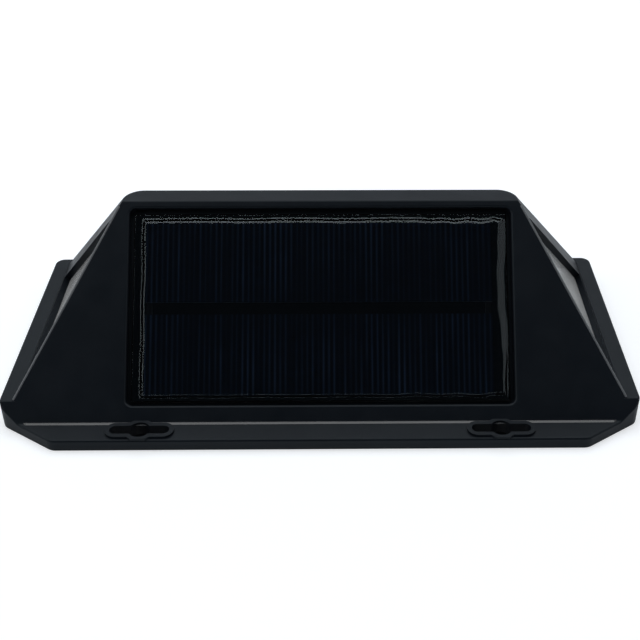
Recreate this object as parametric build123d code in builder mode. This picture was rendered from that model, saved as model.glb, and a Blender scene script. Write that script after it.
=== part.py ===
"""Solar fence light: a wedge-shaped black housing with a panel on its sloping roof.

The light lies on its back as modelled. Z points out of the fence, the keyhole
edge is at -Y (uppermost in use) and the lit end at +Y, with the origin at the
centre of the back face. All sizes are millimetres.
"""
from build123d import *
import os
from math import atan, cos, degrees, radians, sin, tan

os.makedirs("parts", exist_ok=True)

# ---------------------------------------------------------------- driving sizes
# back plate and wedge
plate_width = 185.0
plate_depth = 90.0
body_height = 52.0
roof_angle = 48.0
flange_thickness = 3.5
flange_depth = 7.3
skirt_height = 8.5
near_chamfer_x = 16.4
near_chamfer_y = 11.0
near_corner_r = 4.0
far_corner_r = 3.0
side_ledge = 4.8
far_ledge = 1.5
base_corner_r = 2.5
ridge_half_width = 58.5
ridge_depth = 7.0
ridge_corner_r = 6.0
least_corner_r = 0.4
eave_overhang = 0.9
eave_thickness = 1.8

# moulding walls
wall = 2.0
roof_wall = 2.0
skirt_wall = 2.2
shoulder_width = 1.5
pan_floor = 1.8
pan_wall = 1.2
flange_root_r = 1.0
edge_r = 0.6
recess_edge_r = 0.7
rim_edge_r = 0.3

# keyholes in the flange
keyhole_spacing = 103.0
keyhole_edge_distance = 4.0
keyhole_slot_length = 17.0
keyhole_slot_width = 3.4
keyhole_head_d = 6.2
keyhole_rim = 1.3
keyhole_rim_height = 0.7

# windows and lenses
window_sill = 1.5
window_roof_strip = 3.4
window_post_strip = 11.5
far_window_ridge_strip = 4.5
far_window_post_strip = 6.0
lens_thickness = 1.4
lens_clearance = 0.15
lens_overlap = 1.7

# solar panel in its recess, measured up the roof from the flange
panel_recess_width = 112.4
panel_recess_far_margin = 2.063
panel_recess_start = 5.2
panel_recess_depth = 3.0
panel_recess_corner_r = 2.0
panel_width = 110.0
panel_near_gap = 1.0
panel_far_gap = 1.5
tape_thickness = 0.5
tape_width = 4.0
backing_thickness = 1.0
resin_thickness = 1.1
resin_margin = 0.3
cell_strip_width = 101.4
cell_edge_margin = 2.4
cell_gap = 3.5
cell_thickness = 0.25
cell_shift_x = -0.5
cell_shift_up = -0.5
ribbon_width = 1.6
ribbon_thickness = 0.15
ribbon_end_inset = 0.4

# back cover, its gasket and screws
cover_thickness = 2.2
cover_clearance = 0.25
gasket_height = 1.2
gasket_clearance = 0.1
gasket_outer_gap = 0.3
cover_near_margin = 1.7
rib_width = 1.5
rib_gap = 0.7
boss_clearance = 0.4
screw_shank_d = 2.6
screw_head_d = 5.0
screw_head_height = 1.3
screw_head_recess = 0.1
screw_shank_length = 4.2
screw_hole_clearance = 0.15
thread_clearance = 0.05
cross_slot_width = 0.7
cross_slot_depth = 0.6
boss_r = 3.2
screw_row_half_width = 66.0
near_screw_setback = 7.2
far_screw_inset = 7.0

# reflector tray with its raised bay
tray_thickness = 1.5
tray_inset = 4.0
tray_near_setback = 11.2
bay_base_half_width = 64.0
bay_top_half_width = 56.0
bay_near_setback = 13.7
bay_depth = 44.0
bay_top_near_setback = 29.45
bay_top_depth = 12.25
bay_top_z = 24.0

# lamp board behind the far slope of the bay
led_count = 10
led_pitch = 10.0
led_length = 3.5
led_width = 2.8
led_height = 1.1
led_window_margin = 0.5
led_board_length = 104.0
led_board_width = 11.0
board_thickness = 1.2
stake_d = 1.8
stake_head_d = 3.0
stake_head_height = 0.7
stake_x = 50.0
phosphor_r = 1.1
phosphor_depth = 0.3

# main board and what it carries
board_x = 30.0
board_setback = 33.7
board_length = 48.0
board_width = 30.0
board_z = 7.8
post_r = 2.5
board_corner_inset = 3.2
board_screw_d = 2.0
board_screw_head_d = 3.6
board_screw_head_height = 1.1
board_screw_length = 5.0
socket_length = 7.0
socket_width = 5.0
socket_height = 5.0
socket_pitch = 2.5
battery_socket_x = 13.0
panel_socket_setback = 28.7
chip_length = 6.0
chip_width = 5.0
chip_height = 1.6
inductor_d = 6.0
inductor_height = 3.2
capacitor_d = 5.0
capacitor_height = 7.0
chip_on_board = (-8.0, 8.0)
inductor_on_board = (8.0, -9.0)
capacitor_on_board = (16.0, 0.0)

# battery and its holder
battery_d = 14.2
battery_length = 50.0
battery_nub_d = 5.5
battery_nub_length = 1.0
battery_x = -27.0
battery_wrap_thickness = 0.3
holder_floor = 1.2
holder_wall = 1.4
holder_side_height = 6.5
holder_end_height = 13.0
holder_side_gap = 0.3
holder_end_gap = 1.2
contact_thickness = 0.4
contact_width = 8.0
contact_lug_width = 2.6
contact_lug_rise = 2.0
contact_foot = 1.6
spring_base_d = 7.6
spring_top_d = 5.0
dimple_base_d = 4.0
dimple_top_d = 2.4

# leads
lead_d = 1.3
lead_bend_r = 1.8
lamp_lead_d = 1.0
panel_lead_hole_d = 5.0
panel_lead_x = 30.0
panel_lead_up_roof = 30.0
battery_lead_z = 20.6
lamp_lead_x = 40.0
lamp_lead_turn_z = 10.8
lamp_lead_bend_r = 1.0
panel_lead_reach = 12.0

# power button in the back cover
button_x = 30.0
button_setback = 38.7
button_d = 9.0
button_clearance = 0.08
button_recess = 0.6
button_travel = 0.8
button_flange_d = 12.0
button_flange_thickness = 0.8
button_edge_r = 0.4
seal_side_gap = 0.3
seal_outer_d = 14.0
seal_thickness = 0.6
seal_gap = 0.1
plunger_d = 3.0
plunger_clearance = 0.05
plunger_length = 2.2
switch_size = 8.0
switch_height = 3.0
switch_end_gap = 0.1

# ------------------------------------------------------------- worked-out places
half_width = plate_width / 2
half_depth = plate_depth / 2
slope = radians(roof_angle)
roof_foot_y = -half_depth + flange_depth
near_screw_y = roof_foot_y + near_screw_setback
far_screw_y = half_depth - far_screw_inset
tray_near_y = roof_foot_y + tray_near_setback
bay_near_y = roof_foot_y + bay_near_setback
bay_far_y = bay_near_y + bay_depth
bay_top_near_y = roof_foot_y + bay_top_near_setback
bay_top_far_y = bay_top_near_y + bay_top_depth
board_y = roof_foot_y + board_setback
battery_y = board_y
panel_socket_y = roof_foot_y + panel_socket_setback
button_y = roof_foot_y + button_setback
crease_y = roof_foot_y + (body_height - flange_thickness) / tan(slope)
ridge_back_y = crease_y + ridge_depth
body_half_width = half_width - side_ledge
body_back_y = half_depth - far_ledge
body_rise = body_height - skirt_height
side_lean = atan((body_half_width - ridge_half_width) / body_rise)
far_lean = atan((body_back_y - ridge_back_y) / body_rise)
ledge_z = skirt_height - wall
shoulder_z = cover_thickness + gasket_height
cover_near_y = roof_foot_y + cover_near_margin
upper_near_y = cover_near_y + shoulder_width

roof = Plane(
    origin=(0, roof_foot_y, flange_thickness),
    x_dir=(1, 0, 0),
    z_dir=(0, -sin(slope), cos(slope)),
)
crease_up_roof = (body_height - flange_thickness) / sin(slope)
eave_start = (skirt_height - flange_thickness) / sin(slope)
wedge_foot_z = skirt_height - 1.5 * edge_r  # under the lip's rounding
panel_recess_length = crease_up_roof - panel_recess_far_margin - panel_recess_start
panel_start = panel_recess_start + panel_near_gap
panel_length = panel_recess_length - panel_near_gap - panel_far_gap
cell_strip_height = (panel_length - cell_gap) / 2 - cell_edge_margin
touch = 0.01


# ------------------------------------------------------------------ shared forms
def plate_face(inset, near_y=None):
    """Outline of the back plate drawn in by inset, and cut off square at near_y."""
    with BuildSketch() as plate:
        with BuildLine():
            Polyline(
                (-half_width + near_chamfer_x, -half_depth),
                (half_width - near_chamfer_x, -half_depth),
                (half_width, -half_depth + near_chamfer_y),
                (half_width, half_depth),
                (-half_width, half_depth),
                (-half_width, -half_depth + near_chamfer_y),
                close=True,
            )
        make_face()
        fillet(plate.vertices().group_by(Axis.Y)[-1], far_corner_r)
        near_corners = plate.vertices().filter_by_position(
            Axis.Y, -half_depth, -half_depth + near_chamfer_y
        )
        fillet(near_corners, near_corner_r)
        if inset:
            offset(amount=-inset)
        if near_y is not None:
            with Locations((0, near_y)):
                Rectangle(
                    2 * plate_width,
                    2 * plate_depth,
                    align=(Align.CENTER, Align.MIN),
                    mode=Mode.INTERSECT,
                )
    return plate.sketch


def hip_half_width(z):
    """Half the width of the wedge's leaning sides at height z."""
    return body_half_width - (z - skirt_height) * tan(side_lean)


def hip_back_y(z):
    """Y of the wedge's leaning far side at height z."""
    return body_back_y - (z - skirt_height) * tan(far_lean)


def hip_corner_r(z):
    """Radius of the far corners, which open out towards the ridge."""
    return base_corner_r + (ridge_corner_r - base_corner_r) * (z - skirt_height) / body_rise


def hip_face(z, inset=0.0, back_inset=None):
    """Plan outline of the wedge at height z, its walls drawn in square to themselves."""
    back = inset if back_inset is None else back_inset
    side_x = hip_half_width(z) - inset / cos(side_lean)
    back_y = hip_back_y(z) - back / cos(far_lean)
    corner = max(hip_corner_r(z) - max(inset, back), least_corner_r)
    with BuildSketch(Plane.XY.offset(z)) as outline:
        with BuildLine():
            Polyline(
                (-side_x, upper_near_y),
                (side_x, upper_near_y),
                (side_x, back_y),
                (-side_x, back_y),
                close=True,
            )
        make_face()
        fillet(outline.vertices().group_by(Axis.Y)[-1], corner)
    return outline.sketch


def hip_solid(low_z, high_z, inset=0.0, roof_inset=0.0, back_inset=None):
    """The wedge between two heights, under the roof plane lowered by roof_inset."""
    with BuildPart() as hip:
        add(hip_face(low_z, inset, back_inset))
        add(hip_face(high_z, inset, back_inset))
        loft(ruled=True)
        split(bisect_by=roof.offset(-roof_inset), keep=Keep.BOTTOM)
    return hip.part


def keyhole_outline(grow):
    """Two keyholes: a level slot with a round head hole at its middle."""
    with BuildSketch() as keyholes:
        with GridLocations(keyhole_spacing, 0, 2, 1):
            SlotOverall(keyhole_slot_length + 2 * grow, keyhole_slot_width + 2 * grow)
            Circle(keyhole_head_d / 2 + grow)
    return keyholes.sketch


def lead_tube(points, diameter, radius):
    """A round lead along straight runs joined by arcs."""
    with BuildPart() as tube:
        with BuildLine() as route:
            FilletPolyline(*points, radius=radius)
        with BuildSketch(Plane(route.line @ 0, z_dir=route.line % 0)):
            Circle(diameter / 2)
        sweep()
    return tube.part


def save(piece, name):
    """Label a finished piece and write it under the same name."""
    piece.label = name
    export_step(piece, f"parts/{name}.step")


def edges_on(shape, plane, low_up, high_up, half_across):
    """Edges that lie on a plane between two distances along it and within half_across."""
    chosen = []
    for edge in shape.edges():
        places = [plane.to_local_coords(edge @ t) for t in (0, 0.5, 1)]
        flat = all(abs(place.Z) < touch for place in places)
        inside = all(
            low_up - touch < place.Y < high_up + touch and abs(place.X) < half_across + touch
            for place in places
        )
        if flat and inside:
            chosen.append(edge)
    return ShapeList(chosen)


def recess_rectangle(margin):
    """The panel recess on the roof plane, grown by margin all round."""
    with BuildSketch() as recess:
        with Locations((0, panel_recess_start + panel_recess_length / 2)):
            RectangleRounded(
                panel_recess_width + 2 * margin,
                panel_recess_length + 2 * margin,
                panel_recess_corner_r,
            )
    return recess.sketch


side_plane = Plane(
    origin=(body_half_width, 0, skirt_height),
    x_dir=(0, 1, 0),
    z_dir=(cos(side_lean), 0, sin(side_lean)),
)
left_side_plane = Plane(
    origin=(-body_half_width, 0, skirt_height),
    x_dir=(0, -1, 0),
    z_dir=(-cos(side_lean), 0, sin(side_lean)),
)
far_plane = Plane(
    origin=(0, body_back_y, skirt_height),
    x_dir=(-1, 0, 0),
    z_dir=(0, cos(far_lean), sin(far_lean)),
)
keyhole_y = -half_depth + keyhole_edge_distance
cavity_top_z = body_height - wall
boss_foot_z = cover_thickness + boss_clearance
near_screws = [(-screw_row_half_width, near_screw_y), (screw_row_half_width, near_screw_y)]
far_screws = [(x, far_screw_y) for x in (-screw_row_half_width, 0, screw_row_half_width)]
screw_places = near_screws + far_screws
screw_seat_z = screw_head_recess + screw_head_height
screw_tip_z = screw_seat_z + screw_shank_length
thread_hole_r = screw_shank_d / 2 + thread_clearance
panel_middle = panel_start + panel_length / 2
board_level = panel_recess_depth - tape_thickness
resin_level = board_level - backing_thickness
pan_depth = panel_recess_depth + pan_floor


def side_window_face():
    """Window in the right side: sill, strip under the roof edge, strip beside the post."""
    sill_z = skirt_height + window_sill
    run = cos(side_lean)

    def roof_edge(z):
        return roof_foot_y + (z - flange_thickness) / tan(slope) + window_roof_strip

    def post_edge(z):
        return hip_back_y(z) - window_post_strip

    spread = 1 / tan(slope) + tan(far_lean)
    top_z = sill_z + (post_edge(sill_z) - roof_edge(sill_z)) / spread
    with BuildSketch() as window:
        with BuildLine():
            Polyline(
                (roof_edge(sill_z), (sill_z - skirt_height) / run),
                (post_edge(sill_z), (sill_z - skirt_height) / run),
                (post_edge(top_z), (top_z - skirt_height) / run),
                close=True,
            )
        make_face()
        fillet(window.vertices(), edge_r)
    return window.sketch


def far_window_face():
    """Window in the far side, a trapezium between the posts."""
    run = cos(far_lean)
    low = window_sill / run
    high = body_rise / run - far_window_ridge_strip
    low_x = hip_half_width(skirt_height + window_sill) - far_window_post_strip - wall
    high_x = hip_half_width(skirt_height + high * run) - far_window_post_strip - wall
    with BuildSketch() as window:
        with BuildLine():
            Polyline((-low_x, low), (low_x, low), (high_x, high), (-high_x, high), close=True)
        make_face()
        fillet(window.vertices(), edge_r)
    return window.sketch


# -------------------------------------------------------------------- housing
with BuildPart() as skirt_cavity:
    with BuildSketch(Plane.XY.offset(shoulder_z)):
        add(plate_face(skirt_wall + shoulder_width, upper_near_y))
    extrude(amount=ledge_z - shoulder_z)
    split(bisect_by=roof.offset(-roof_wall), keep=Keep.BOTTOM)

with BuildPart() as boss_posts:
    with BuildSketch(Plane.XY.offset(boss_foot_z)):
        with Locations(*far_screws):
            Circle(boss_r)
    extrude(amount=ledge_z - boss_foot_z)
    with BuildSketch(Plane.XY.offset(shoulder_z)):
        with Locations(*far_screws):
            Rectangle(
                2 * boss_r,
                half_depth - skirt_wall - far_screw_y,
                align=(Align.CENTER, Align.MIN),
            )
    extrude(amount=ledge_z - shoulder_z)
    with BuildSketch(Plane.XY.offset(boss_foot_z)):
        with Locations(*near_screws):
            Circle(boss_r)
    extrude(amount=body_height)
    split(bisect_by=roof.offset(-roof_wall / 2), keep=Keep.BOTTOM)

with BuildPart() as pan:
    with BuildSketch(roof.offset(-roof_wall / 2)):
        add(recess_rectangle(pan_wall))
    extrude(amount=roof_wall / 2 - pan_depth)
    with BuildSketch(roof):
        add(recess_rectangle(0))
    extrude(amount=-panel_recess_depth, mode=Mode.SUBTRACT)

with BuildPart() as eave_sheet:
    with BuildSketch(roof):
        with BuildLine():
            Polyline(
                (-body_half_width - eave_overhang, eave_start),
                (body_half_width + eave_overhang, eave_start),
                (ridge_half_width + eave_overhang, crease_up_roof - 2 * edge_r),
                (-ridge_half_width - eave_overhang, crease_up_roof - 2 * edge_r),
                close=True,
            )
        make_face()
    extrude(amount=-eave_thickness)
    # the panel recess passes through it
    with BuildSketch(roof):
        add(recess_rectangle(recess_edge_r + rim_edge_r))
    extrude(amount=-eave_thickness, mode=Mode.SUBTRACT)

with BuildPart() as front_housing:
    # base plate with its flange, cut down to the roof line along the near edge
    add(plate_face(0))
    extrude(amount=skirt_height)
    fillet(front_housing.edges().group_by(Axis.Z)[-1], edge_r)
    with BuildSketch(Plane.YZ) as roof_line:
        with BuildLine():
            Polyline(
                (-plate_depth, flange_thickness),
                (roof_foot_y, flange_thickness),
                (crease_y, body_height),
                (crease_y, body_height + plate_depth),
                (-plate_depth, body_height + plate_depth),
                close=True,
            )
        make_face()
        root = roof_line.vertices().sort_by_distance((roof_foot_y, flange_thickness))[0]
        fillet(root, flange_root_r)
    extrude(amount=plate_width, both=True, mode=Mode.SUBTRACT)
    fillet(
        edges_on(
            front_housing.part,
            Plane.XY.offset(flange_thickness),
            -half_depth,
            roof_foot_y,
            half_width,
        ),
        edge_r,
    )
    # leaning sides up to the ridge
    add(hip_solid(wedge_foot_z, body_height))
    fillet(front_housing.edges().group_by(Axis.Z)[-1], edge_r)
    # recess for the solar panel, its edge rounded
    with BuildSketch(roof):
        add(recess_rectangle(0))
    extrude(amount=-panel_recess_depth, mode=Mode.SUBTRACT)
    fillet(
        edges_on(
            front_housing.part,
            roof,
            panel_recess_start,
            panel_recess_start + panel_recess_length,
            panel_recess_width / 2,
        ),
        recess_edge_r,
    )
    # roof sheet standing out past the sides
    add(eave_sheet.part)
    # hollow, with a shoulder for the gasket
    add(hip_solid(ledge_z, cavity_top_z, wall, roof_wall), mode=Mode.SUBTRACT)
    add(plate_face(skirt_wall, cover_near_y))
    extrude(amount=shoulder_z, mode=Mode.SUBTRACT)
    add(skirt_cavity.part, mode=Mode.SUBTRACT)
    # screw bosses with blind holes
    add(boss_posts.part)
    with BuildSketch(Plane.XY.offset(boss_foot_z)):
        with Locations(*screw_places):
            Circle(thread_hole_r)
    extrude(amount=screw_tip_z + boss_clearance - boss_foot_z, mode=Mode.SUBTRACT)
    # pan under the recess, with a hole for the panel's leads
    add(pan.part)
    with BuildSketch(roof):
        with Locations((panel_lead_x, panel_lead_up_roof)):
            Circle(panel_lead_hole_d / 2)
    extrude(amount=-pan_depth, mode=Mode.SUBTRACT)
    # windows in both sides and in the far side
    with BuildSketch(side_plane):
        add(side_window_face())
    extrude(amount=-2 * wall, mode=Mode.SUBTRACT)
    with BuildSketch(left_side_plane):
        add(side_window_face().mirror(Plane.YZ))
    extrude(amount=-2 * wall, mode=Mode.SUBTRACT)
    with BuildSketch(far_plane):
        add(far_window_face())
    extrude(amount=-2 * wall, mode=Mode.SUBTRACT)
    # raised rims round the keyholes, and the keyholes through the flange
    with BuildSketch(Plane.XY.offset(flange_thickness)):
        with Locations((0, keyhole_y)):
            add(keyhole_outline(keyhole_rim))
        with Locations((0, -half_depth)):
            Rectangle(
                plate_width,
                plate_depth,
                align=(Align.CENTER, Align.MIN),
                mode=Mode.INTERSECT,
            )
    extrude(amount=keyhole_rim_height)
    with BuildSketch():
        with Locations((0, keyhole_y)):
            add(keyhole_outline(0))
    extrude(amount=skirt_height, mode=Mode.SUBTRACT)
save(front_housing.part, "front_housing")

# --------------------------------------------------------------------- lenses
lens_foot_z = ledge_z + lens_clearance
lens_top_z = cavity_top_z - lens_clearance
side_lens_room = hip_solid(lens_foot_z, lens_top_z, wall, roof_wall + lens_clearance)
far_lens_room = hip_solid(
    lens_foot_z, lens_top_z, wall + lens_clearance, roof_wall + lens_clearance, wall
)
with BuildPart() as pan_room:
    with BuildSketch(roof):
        add(recess_rectangle(pan_wall + lens_clearance))
    extrude(amount=-pan_depth - lens_clearance)

with BuildPart() as lens_right:
    add(side_lens_room)
    split(bisect_by=side_plane.offset(-wall - lens_thickness), keep=Keep.TOP)
    split(bisect_by=far_plane.offset(-wall - lens_thickness - lens_overlap), keep=Keep.BOTTOM)
    add(pan_room.part, mode=Mode.SUBTRACT)
save(lens_right.part, "lens_right")

with BuildPart() as lens_left:
    add(lens_right.part)
    mirror(about=Plane.YZ, mode=Mode.REPLACE)
save(lens_left.part, "lens_left")

with BuildPart() as lens_far:
    add(far_lens_room)
    split(bisect_by=far_plane.offset(-wall - lens_thickness), keep=Keep.TOP)
save(lens_far.part, "lens_far")

# ----------------------------------------------------------------- back cover
board_holes = [
    (board_x + sx * (board_length / 2 - board_corner_inset),
     board_y + sy * (board_width / 2 - board_corner_inset))
    for sx in (-1, 1)
    for sy in (-1, 1)
]
rib_inset = skirt_wall + shoulder_width + rib_gap
rib_top_z = ledge_z - tray_thickness
board_hole_r = board_screw_d / 2 + thread_clearance

with BuildPart() as back_cover:
    add(plate_face(skirt_wall + cover_clearance, cover_near_y + cover_clearance))
    extrude(amount=cover_thickness)
    # rib that presses the tray against the housing
    with BuildSketch(Plane.XY.offset(cover_thickness)):
        add(plate_face(rib_inset, tray_near_y))
        add(plate_face(rib_inset + rib_width, tray_near_y + rib_width), mode=Mode.SUBTRACT)
        with Locations(*far_screws):
            Circle(boss_r + boss_clearance, mode=Mode.SUBTRACT)
            Rectangle(
                2 * (boss_r + boss_clearance),
                half_depth - far_screw_y,
                align=(Align.CENTER, Align.MIN),
                mode=Mode.SUBTRACT,
            )
    extrude(amount=rib_top_z - cover_thickness)
    # posts under the main board
    with BuildSketch(Plane.XY.offset(cover_thickness)):
        with Locations(*board_holes):
            Circle(post_r)
            Circle(board_hole_r, mode=Mode.SUBTRACT)
    extrude(amount=board_z - cover_thickness)
    # sunk screw holes and the button's guide hole
    with BuildSketch():
        with Locations(*screw_places):
            Circle(screw_head_d / 2 + screw_hole_clearance)
    extrude(amount=screw_seat_z, mode=Mode.SUBTRACT)
    with BuildSketch():
        with Locations(*screw_places):
            Circle(screw_shank_d / 2 + screw_hole_clearance)
        with Locations((button_x, button_y)):
            Circle(button_d / 2 + button_clearance)
    extrude(amount=cover_thickness, mode=Mode.SUBTRACT)
save(back_cover.part, "back_cover")

with BuildPart() as cover_gasket:
    with BuildSketch(Plane.XY.offset(cover_thickness)):
        add(plate_face(skirt_wall + gasket_outer_gap, cover_near_y + gasket_outer_gap))
        add(
            plate_face(
                skirt_wall + shoulder_width - gasket_clearance,
                upper_near_y - gasket_clearance,
            ),
            mode=Mode.SUBTRACT,
        )
    extrude(amount=gasket_height)
save(cover_gasket.part, "cover_gasket")


def cross_screws(places, head_z, head_r, head_height, shank_r, shank_length, up):
    """Screws with crossed slots, heads starting at head_z and shanks going up or down."""
    lift = 1 if up else -1
    with BuildPart() as screws:
        with BuildSketch(Plane.XY.offset(head_z)):
            with Locations(*places):
                Circle(head_r)
        extrude(amount=lift * head_height)
        with BuildSketch(Plane.XY.offset(head_z + lift * head_height)):
            with Locations(*places):
                Circle(shank_r)
        extrude(amount=lift * shank_length)
        with BuildSketch(Plane.XY.offset(head_z)):
            with Locations(*places):
                Rectangle(head_r, cross_slot_width)
                Rectangle(cross_slot_width, head_r)
        extrude(amount=lift * cross_slot_depth, mode=Mode.SUBTRACT)
    return screws.part


cover_screws = cross_screws(
    screw_places,
    screw_head_recess,
    screw_head_d / 2,
    screw_head_height,
    screw_shank_d / 2,
    screw_shank_length,
    True,
)
save(cover_screws, "cover_screws")

# ------------------------------------------------------------- reflector tray
bay_rise = bay_top_z - ledge_z
bay_near_angle = atan(bay_rise / (bay_top_near_y - bay_near_y))
bay_far_angle = atan(bay_rise / (bay_far_y - bay_top_far_y))
bay_side_angle = atan(bay_rise / (bay_base_half_width - bay_top_half_width))


def bay_face(z, inset):
    """Plan outline of the raised bay at height z, its walls drawn in by inset."""
    up = (z - ledge_z) / bay_rise
    half = bay_base_half_width + (bay_top_half_width - bay_base_half_width) * up
    half -= inset / sin(bay_side_angle)
    near_y = bay_near_y + (bay_top_near_y - bay_near_y) * up + inset / sin(bay_near_angle)
    far_y = bay_far_y + (bay_top_far_y - bay_far_y) * up - inset / sin(bay_far_angle)
    with BuildSketch(Plane.XY.offset(z)) as outline:
        with Locations((0, (near_y + far_y) / 2)):
            Rectangle(2 * half, far_y - near_y)
    return outline.sketch


with BuildPart() as bay_hollow:
    add(bay_face(rib_top_z, tray_thickness))
    add(bay_face(bay_top_z - tray_thickness, tray_thickness))
    loft(ruled=True)

lamp_mid_z = (ledge_z + bay_top_z) / 2
lamp_plane = Plane(
    origin=(0, bay_far_y - (lamp_mid_z - ledge_z) / tan(bay_far_angle), lamp_mid_z),
    x_dir=(-1, 0, 0),
    z_dir=(0, sin(bay_far_angle), cos(bay_far_angle)),
)
stake_places = [(-stake_x, 0), (0, 0), (stake_x, 0)]
led_board_back = tray_thickness + board_thickness

with BuildPart() as reflector_tray:
    with BuildSketch(Plane.XY.offset(rib_top_z)):
        add(plate_face(tray_inset, tray_near_y))
        with Locations(*far_screws):
            Circle(boss_r + boss_clearance, mode=Mode.SUBTRACT)
            Rectangle(
                2 * (boss_r + boss_clearance),
                half_depth - far_screw_y,
                align=(Align.CENTER, Align.MIN),
                mode=Mode.SUBTRACT,
            )
    extrude(amount=tray_thickness)
    add(bay_face(ledge_z, 0))
    add(bay_face(bay_top_z, 0))
    loft(ruled=True)
    add(bay_hollow.part, mode=Mode.SUBTRACT)
    # windows for the light-emitting diodes, and stakes that hold their board
    with BuildSketch(lamp_plane):
        with GridLocations(led_pitch, 0, led_count, 1):
            Rectangle(led_length + 2 * led_window_margin, led_width + 2 * led_window_margin)
    extrude(amount=-tray_thickness, mode=Mode.SUBTRACT)
    with BuildSketch(lamp_plane.offset(-tray_thickness)):
        with Locations(*stake_places):
            Circle(stake_d / 2)
    extrude(amount=-board_thickness)
    with BuildSketch(lamp_plane.offset(-led_board_back)):
        with Locations(*stake_places):
            Circle(stake_head_d / 2)
    extrude(amount=-stake_head_height)
    # hole for the panel leads
    with BuildSketch(roof):
        with Locations((panel_lead_x, panel_lead_up_roof)):
            Circle(panel_lead_hole_d / 2)
    extrude(amount=-panel_lead_reach, mode=Mode.SUBTRACT)
save(reflector_tray.part, "reflector_tray")

with BuildPart() as led_board:
    with BuildSketch(lamp_plane.offset(-tray_thickness)):
        Rectangle(led_board_length, led_board_width)
        with Locations(*stake_places):
            Circle(stake_d / 2 + thread_clearance, mode=Mode.SUBTRACT)
    extrude(amount=-board_thickness)
save(led_board.part, "led_board")

with BuildPart() as led_packages:
    with BuildSketch(lamp_plane.offset(-tray_thickness)):
        with GridLocations(led_pitch, 0, led_count, 1):
            Rectangle(led_length, led_width)
    extrude(amount=led_height)
    with BuildSketch(lamp_plane.offset(led_height - tray_thickness)):
        with GridLocations(led_pitch, 0, led_count, 1):
            Circle(phosphor_r)
    extrude(amount=-phosphor_depth, mode=Mode.SUBTRACT)
save(led_packages.part, "led_packages")

with BuildPart() as led_phosphors:
    with BuildSketch(lamp_plane.offset(led_height - tray_thickness)):
        with GridLocations(led_pitch, 0, led_count, 1):
            Circle(phosphor_r)
    extrude(amount=-phosphor_depth)
save(led_phosphors.part, "led_phosphors")

# ---------------------------------------------------------------- solar panel
with BuildPart() as panel_tape:
    with BuildSketch(roof.offset(-panel_recess_depth)):
        with Locations((0, panel_middle)):
            Rectangle(panel_width, panel_length)
            Rectangle(panel_width - 2 * tape_width, panel_length - 2 * tape_width, mode=Mode.SUBTRACT)
    extrude(amount=tape_thickness)
save(panel_tape.part, "panel_tape")

with BuildPart() as panel_board:
    with BuildSketch(roof.offset(-board_level)):
        with Locations((0, panel_middle)):
            Rectangle(panel_width, panel_length)
    extrude(amount=backing_thickness)
save(panel_board.part, "panel_board")

strip_pitch = cell_strip_height + cell_gap
cell_middle = (cell_shift_x, panel_middle + cell_shift_up)
with BuildPart() as cell_ribbons:
    with BuildSketch(roof.offset(-resin_level)):
        with Locations(cell_middle):
            with GridLocations(cell_strip_width - ribbon_width - 2 * ribbon_end_inset, 0, 2, 1):
                Rectangle(ribbon_width, 2 * strip_pitch - cell_gap - 2 * ribbon_end_inset)
    extrude(amount=ribbon_thickness)
save(cell_ribbons.part, "cell_ribbons")

with BuildPart() as solar_cells:
    with BuildSketch(roof.offset(ribbon_thickness - resin_level)):
        with Locations(cell_middle):
            with GridLocations(0, strip_pitch, 1, 2):
                Rectangle(cell_strip_width, cell_strip_height)
    extrude(amount=cell_thickness)
save(solar_cells.part, "solar_cells")

with BuildPart() as panel_resin:
    with BuildSketch(roof.offset(-resin_level)):
        with Locations((0, panel_middle)):
            Rectangle(panel_width - 2 * resin_margin, panel_length - 2 * resin_margin)
    extrude(amount=resin_thickness)
    add(solar_cells.part, mode=Mode.SUBTRACT)
    add(cell_ribbons.part, mode=Mode.SUBTRACT)
save(panel_resin.part, "panel_resin")

panel_lead_places = [panel_lead_x - socket_pitch / 2, panel_lead_x + socket_pitch / 2]
lead_top = roof.from_local_coords((panel_lead_x, panel_lead_up_roof, -board_level))
socket_top_z = board_z + board_thickness + socket_height
for name, x in zip(("panel_lead_black", "panel_lead_red"), panel_lead_places):
    save(
        lead_tube(
            [
                (x, lead_top.Y, lead_top.Z),
                (x, panel_socket_y, lead_top.Z - (panel_socket_y - lead_top.Y) / tan(slope)),
                (x, panel_socket_y, socket_top_z),
            ],
            lead_d,
            lead_bend_r,
        ),
        name,
    )

# ----------------------------------------------------- main board and its parts
board_top_z = board_z + board_thickness
with BuildPart() as main_board:
    with BuildSketch(Plane.XY.offset(board_z)):
        with Locations((board_x, board_y)):
            Rectangle(board_length, board_width)
        with Locations(*board_holes):
            Circle(board_screw_d / 2 + thread_clearance, mode=Mode.SUBTRACT)
    extrude(amount=board_thickness)
save(main_board.part, "main_board")

board_screws = cross_screws(
    board_holes,
    board_top_z + board_screw_head_height,
    board_screw_head_d / 2,
    board_screw_head_height,
    board_screw_d / 2,
    board_screw_length,
    False,
)
save(board_screws, "board_screws")

with BuildPart() as control_chip:
    with BuildSketch(Plane.XY.offset(board_top_z)):
        with Locations((board_x + chip_on_board[0], board_y + chip_on_board[1])):
            Rectangle(chip_length, chip_width)
    extrude(amount=chip_height)
save(control_chip.part, "control_chip")

with BuildPart() as inductor:
    with BuildSketch(Plane.XY.offset(board_top_z)):
        with Locations((board_x + inductor_on_board[0], board_y + inductor_on_board[1])):
            Circle(inductor_d / 2)
    extrude(amount=inductor_height)
    fillet(inductor.edges().group_by(Axis.Z)[-1], edge_r)
save(inductor.part, "inductor")

with BuildPart() as capacitor:
    with BuildSketch(Plane.XY.offset(board_top_z)):
        with Locations((board_x + capacitor_on_board[0], board_y + capacitor_on_board[1])):
            Circle(capacitor_d / 2)
    extrude(amount=capacitor_height)
    fillet(capacitor.edges().group_by(Axis.Z)[-1], edge_r)
save(capacitor.part, "capacitor")

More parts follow.
